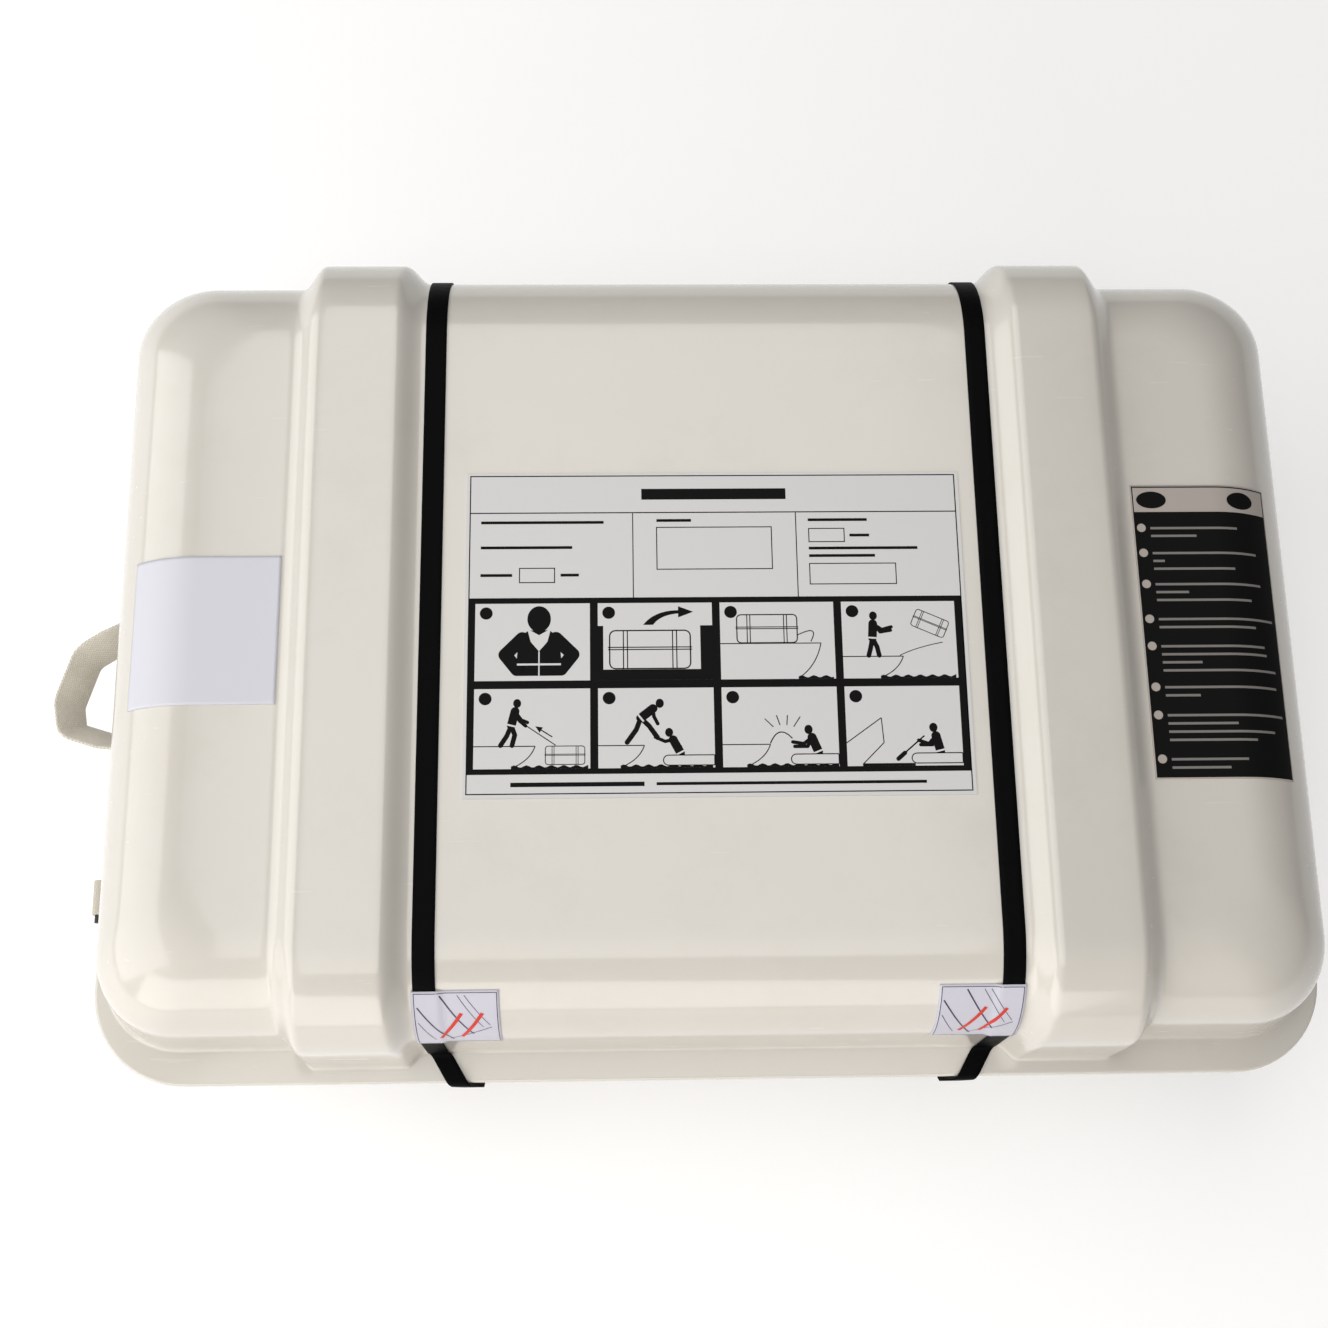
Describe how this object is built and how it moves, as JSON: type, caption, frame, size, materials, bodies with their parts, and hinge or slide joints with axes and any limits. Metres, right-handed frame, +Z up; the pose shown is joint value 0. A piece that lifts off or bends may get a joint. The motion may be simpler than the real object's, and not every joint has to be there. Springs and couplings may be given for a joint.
{
  "type": "liferaft container",
  "caption": "Closed hard-shell liferaft container with two raised ribs, black closing bands, blank and pictogram labels and a webbing carry handle.",
  "frame": {"origin": "on the deck, under the middle of the shells, between the two lower ribs that the container stands on", "axes": "+X along the length, away from the end with the handle; +Y across, away from the side that carries the band labels; +Z up"},
  "size_m": [0.8099, 0.535, 0.253],
  "materials": {
    "gelcoat": "glossy cream gelcoat on glass-fibre laminate",
    "gasket_foam": "soft black foam strip",
    "band": "flat black strapping, satin",
    "seal_metal": "pressed seal, dull zinc",
    "webbing": "beige woven webbing",
    "rivet_metal": "plain",
    "grommet_rubber": "black moulded",
    "tail_tape": "cream woven tape",
    "plate_sheet": "printed vinyl sheet, light grey and black fields",
    "white_sheet": "white vinyl sheet",
    "black_sheet": "black vinyl sheet with light bars",
    "pack_film": "orange vacuum film",
    "foam": "closed-cell foam",
    "cylinder_paint": "grey paint",
    "valve_brass": "machined",
    "hose_rubber": "black",
    "bag_cloth": "orange coated cloth",
    "plug_plastic": "black"
  },
  "bodies": {
    "root": {"upper_shell": "gelcoat", "lower_shell": "gelcoat", "rim_gasket": "gasket_foam", "left_band": "band", "right_band": "band", "band_seals": "seal_metal", "instruction_label": "plate_sheet", "left_end_label": "white_sheet", "right_end_label": "black_sheet", "left_band_label": "white_sheet", "right_band_label": "white_sheet", "carry_handle": "webbing", "handle_rivets": "rivet_metal", "backing_plates": "rivet_metal", "outlet_grommet": "grommet_rubber", "painter_tail": "tail_tape", "tail_toggle": "plug_plastic", "drain_plugs": "plug_plastic", "floor_pad": "foam", "top_pad": "foam", "raft_pack": "pack_film", "line_bag": "bag_cloth", "gas_cylinder": "cylinder_paint", "cylinder_saddles": "foam", "firing_head": "valve_brass", "inflation_hose": "hose_rubber", "emergency_kit": "bag_cloth"}
  },
  "joints": []
}
